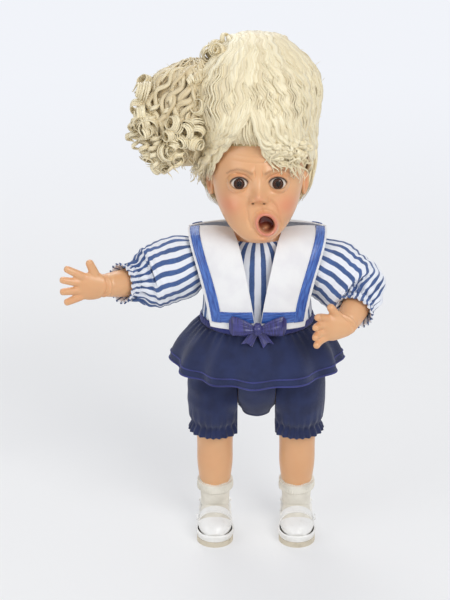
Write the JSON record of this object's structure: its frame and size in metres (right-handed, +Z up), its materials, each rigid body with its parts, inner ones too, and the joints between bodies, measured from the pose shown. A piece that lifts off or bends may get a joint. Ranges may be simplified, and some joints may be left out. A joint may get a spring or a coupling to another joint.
{
  "type": "jointed vinyl doll",
  "caption": "Jointed vinyl play doll with piled curly blond hair, an open mouth and a striped sailor dress, standing on flat shoe soles.",
  "frame": {"origin": "on the floor, under the middle of the doll with its arms as they are posed", "axes": "+Z up, -Y the way that the doll faces, +X towards its left hand side"},
  "size_m": [0.2643, 0.1497, 0.4312],
  "materials": {
    "skin_vinyl": "soft matt vinyl, flesh coloured, rosy at the cheeks",
    "eye_white": "polished white",
    "iris_brown": "brown with a darker rim and a black pupil",
    "cornea_clear": "clear polished dome",
    "wig_net": "fine net, the colour of the hair",
    "hair_blond": "pale blond fibre, wavy and curled",
    "striped_cotton": "woven cotton with white and navy stripes",
    "cuff_cotton": "gathered cotton over elastic",
    "navy_cotton": "navy woven cotton",
    "piping": "blue piping",
    "collar_cotton": "white cotton",
    "blue_satin": "bright blue satin ribbon",
    "navy_satin": "dark violet-blue satin ribbon",
    "sock_knit": "white knit",
    "shoe_vinyl": "white moulded vinyl",
    "sole_rubber": "off-white sole",
    "button_plastic": "white button"
  },
  "bodies": {
    "torso": {"torso": "skin_vinyl", "dress_bodice": "striped_cotton", "waistband": "piping", "skirt": "navy_cotton", "bloomer_seat": "navy_cotton", "collar_right_front": "collar_cotton", "collar_right_ribbon": "blue_satin", "collar_left_front": "collar_cotton", "collar_left_ribbon": "blue_satin", "collar_back": "collar_cotton", "collar_back_ribbon": "blue_satin", "bow_knot": "navy_satin", "bow_right_loop": "navy_satin", "bow_left_loop": "navy_satin", "bow_tails": "navy_satin", "dress_snaps": "button_plastic"},
    "head": {"head_shell": "skin_vinyl", "right_eyeball": "eye_white", "right_iris": "iris_brown", "right_cornea": "cornea_clear", "left_eyeball": "eye_white", "left_iris": "iris_brown", "left_cornea": "cornea_clear", "wig_cap": "wig_net", "hair_crown": "hair_blond", "hair_back": "hair_blond", "hair_ringlets": "hair_blond", "hair_side_sweep": "hair_blond", "hair_fringe": "hair_blond"},
    "right_arm": {"right_arm": "skin_vinyl", "right_sleeve": "striped_cotton", "right_cuff": "cuff_cotton"},
    "left_arm": {"left_arm": "skin_vinyl", "left_sleeve": "striped_cotton", "left_cuff": "cuff_cotton"},
    "right_leg": {"right_leg": "skin_vinyl", "right_bloomer_leg": "navy_cotton", "right_sock": "sock_knit", "right_shoe": "shoe_vinyl", "right_strap": "shoe_vinyl", "right_sole": "sole_rubber", "right_shoe_button": "button_plastic"},
    "left_leg": {"left_leg": "skin_vinyl", "left_bloomer_leg": "navy_cotton", "left_sock": "sock_knit", "left_shoe": "shoe_vinyl", "left_strap": "shoe_vinyl", "left_sole": "sole_rubber", "left_shoe_button": "button_plastic"}
  },
  "joints": [
    {"name": "neck_turn", "type": "hinge", "parent": "torso", "child": "head", "pos_m": [0.0266, -0.0044, 0.275], "axis": [0, 0, 1], "range_deg": [-60, 60]},
    {"name": "right_shoulder", "type": "hinge", "parent": "torso", "child": "right_arm", "pos_m": [-0.0094, -0.0044, 0.251], "axis": [-1, 0, 0], "range_deg": [-90, 90], "deforming": ["right_sleeve"]},
    {"name": "left_shoulder", "type": "hinge", "parent": "torso", "child": "left_arm", "pos_m": [0.0626, -0.0044, 0.251], "axis": [-1, 0, 0], "range_deg": [-10, 75], "deforming": ["left_sleeve"]},
    {"name": "right_hip", "type": "hinge", "parent": "torso", "child": "right_leg", "pos_m": [0.0121, -0.0044, 0.138], "axis": [-1, 0, 0], "range_deg": [-30, 90], "deforming": ["right_bloomer_leg"]},
    {"name": "left_hip", "type": "hinge", "parent": "torso", "child": "left_leg", "pos_m": [0.0411, -0.0044, 0.138], "axis": [-1, 0, 0], "range_deg": [-30, 90], "deforming": ["left_bloomer_leg"]}
  ]
}
